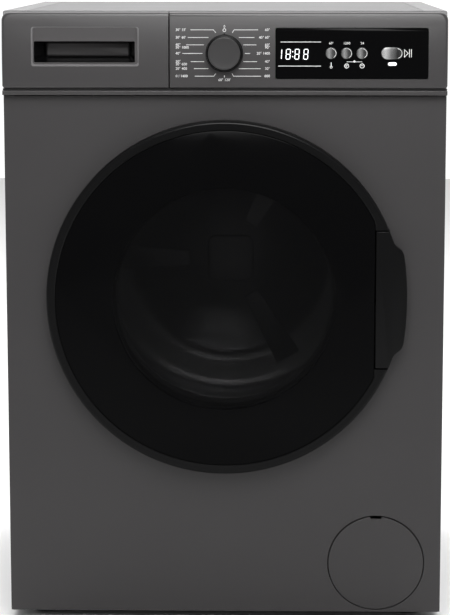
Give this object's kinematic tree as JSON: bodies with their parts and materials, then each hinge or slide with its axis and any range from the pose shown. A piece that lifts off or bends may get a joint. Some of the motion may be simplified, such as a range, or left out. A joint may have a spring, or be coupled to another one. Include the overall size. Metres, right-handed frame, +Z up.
{
  "type": "front load washing machine",
  "caption": "Front load washing machine with a round door on a side hinge, detergent drawer, programme knob, display with keys, suspended tub, belt-driven drum and levelling feet.",
  "frame": {"origin": "on the floor, in the middle of the plan of the whole machine", "axes": "+Z up, the front with its door faces -Y, +X to the right when facing the front from -Y"},
  "size_m": [0.597, 0.557, 0.845],
  "materials": {
    "dark_steel": "satin anthracite powder coat",
    "panel_plastic": "satin anthracite moulded plastic",
    "trim_plastic": "satin anthracite moulded plastic",
    "worktop_grey": "fine-textured light grey laminate",
    "rail_grey": "light grey moulded plastic",
    "display_black": "gloss black",
    "knob_grey": "satin dark grey",
    "key_black": "silver to black, satin",
    "ring_plastic": "satin black",
    "disc_smoke": "smoked, polished",
    "frame_plastic": "dark grey moulded plastic",
    "bowl_glass": "clear, polished",
    "steel": "stainless, satin",
    "zinc": "zinc plated",
    "grey_rubber": "matt grey rubber",
    "black_rubber": "matt black rubber",
    "tub_plastic": "filled polypropylene, matt",
    "white_plastic": "white moulded plastic",
    "black_plastic": "black moulded plastic",
    "concrete": "cast concrete",
    "aluminium": "die cast",
    "board_green": "circuit board with solder mask",
    "blue_plastic": "translucent blue"
  },
  "bodies": {
    "cabinet": {"cabinet_wrap": "dark_steel", "front_panel": "dark_steel", "rear_cover": "dark_steel", "worktop_frame": "rail_grey", "worktop": "worktop_grey", "base_pan": "black_plastic", "cabinet_screws": "zinc", "control_fascia": "panel_plastic", "lower_trim": "trim_plastic", "display_window": "display_black", "control_board": "board_green", "dispenser_housing": "white_plastic", "door_lock": "black_plastic", "hinge_bracket": "zinc", "door_gasket": "grey_rubber", "drain_pump": "black_plastic", "sump_hose": "black_rubber", "drain_hose": "white_plastic", "fill_hose": "black_rubber", "inlet_valve": "white_plastic", "valve_hose": "black_rubber", "cable_gland": "black_plastic", "damper_cylinders": "zinc", "suspension_springs": "zinc"},
    "door": {"door_ring": "ring_plastic", "door_disc": "disc_smoke", "door_inner_frame": "frame_plastic", "door_glass": "bowl_glass", "hinge_arm": "zinc", "door_screws": "zinc"},
    "handle": {"door_handle": "ring_plastic"},
    "latch": {"latch_hook": "zinc"},
    "drawer": {"drawer_front": "panel_plastic", "drawer_tray": "white_plastic", "siphon_cap": "blue_plastic"},
    "knob": {"programme_knob": "knob_grey"},
    "temperature_key": {"temperature_button": "key_black"},
    "spin_key": {"spin_button": "key_black"},
    "delay_key": {"delay_button": "key_black"},
    "start_key": {"start_button": "key_black"},
    "service_cover": {"filter_cover": "dark_steel"},
    "filter": {"pump_filter": "black_plastic"},
    "tub": {"tub_front": "tub_plastic", "tub_rear": "tub_plastic", "drum_bearings": "steel", "top_weight": "concrete", "heater": "steel", "drive_motor": "zinc", "drive_belt": "black_rubber", "damper_rods": "zinc"},
    "drum": {"drum_shell": "steel", "drum_rear_wall": "steel", "drum_spider": "aluminium", "drum_lifters": "white_plastic", "drum_pulley": "aluminium"},
    "motor_rotor": {"motor_pulley": "zinc"},
    "foot_fl": {"foot_front_left": "black_rubber"},
    "foot_fr": {"foot_front_right": "black_rubber"},
    "foot_rl": {"foot_rear_left": "black_rubber"},
    "foot_rr": {"foot_rear_right": "black_rubber"}
  },
  "joints": [
    {"name": "door_hinge", "type": "hinge", "parent": "cabinet", "child": "door", "pos_m": [-0.232, -0.261, 0.458], "axis": [0, 0, -1], "range_deg": [0, 120]},
    {"name": "handle_pull", "type": "hinge", "parent": "door", "child": "handle", "pos_m": [0.2035, -0.277, 0.458], "axis": [0, 0, -1], "range_deg": [0, 15], "stiffness_Nm_per_rad": 3},
    {"name": "hook_release", "type": "hinge", "parent": "door", "child": "latch", "pos_m": [0.208, -0.254, 0.458], "axis": [0, 0, -1], "range_deg": [0, 9]},
    {"name": "drawer_slide", "type": "slide", "parent": "cabinet", "child": "drawer", "axis": [0, -1, 0], "range_m": [0, 0.2]},
    {"name": "programme_turn", "type": "hinge", "parent": "cabinet", "child": "knob", "pos_m": [0, -0.27, 0.789], "axis": [0, -1, 0], "continuous": true},
    {"name": "temperature_press", "type": "slide", "parent": "cabinet", "child": "temperature_key", "axis": [0, 1, 0], "range_m": [0, 0.0015], "stiffness_N_per_m": 600},
    {"name": "spin_press", "type": "slide", "parent": "cabinet", "child": "spin_key", "axis": [0, 1, 0], "range_m": [0, 0.0015], "stiffness_N_per_m": 600},
    {"name": "delay_press", "type": "slide", "parent": "cabinet", "child": "delay_key", "axis": [0, 1, 0], "range_m": [0, 0.0015], "stiffness_N_per_m": 600},
    {"name": "start_press", "type": "slide", "parent": "cabinet", "child": "start_key", "axis": [0, 1, 0], "range_m": [0, 0.0015], "stiffness_N_per_m": 600},
    {"name": "service_cover_hinge", "type": "hinge", "parent": "cabinet", "child": "service_cover", "pos_m": [0.209, -0.244, 0.02], "axis": [1, 0, 0], "range_deg": [0, 90]},
    {"name": "filter_turn", "type": "hinge", "parent": "cabinet", "child": "filter", "pos_m": [0.209, -0.2, 0.083], "axis": [0, -1, 0], "continuous": true},
    {"name": "tub_bounce", "type": "slide", "parent": "cabinet", "child": "tub", "axis": [0, 0, 1], "range_m": [-0.012, 0.012], "stiffness_N_per_m": 16000, "springref_m": 0.02427, "deforming": ["door_gasket", "fill_hose", "sump_hose", "suspension_springs"]},
    {"name": "drum_spin", "type": "hinge", "parent": "tub", "child": "drum", "pos_m": [0, 0, 0.458], "axis": [0, -1, 0], "continuous": true},
    {"name": "motor_spin", "type": "hinge", "parent": "tub", "child": "motor_rotor", "pos_m": [0.12, 0.2, 0.15], "axis": [0, -1, 0], "continuous": true},
    {"name": "foot_front_left_height", "type": "slide", "parent": "cabinet", "child": "foot_fl", "axis": [0, 0, -1], "range_m": [0, 0.015]},
    {"name": "foot_front_right_height", "type": "slide", "parent": "cabinet", "child": "foot_fr", "axis": [0, 0, -1], "range_m": [0, 0.015]},
    {"name": "foot_rear_left_height", "type": "slide", "parent": "cabinet", "child": "foot_rl", "axis": [0, 0, -1], "range_m": [0, 0.015]},
    {"name": "foot_rear_right_height", "type": "slide", "parent": "cabinet", "child": "foot_rr", "axis": [0, 0, -1], "range_m": [0, 0.015]}
  ],
  "couplings": [
    {"joint": "hook_release", "follows": "handle_pull", "ratio": 0.6},
    {"joint": "motor_spin", "follows": "drum_spin", "ratio": 14.5}
  ]
}
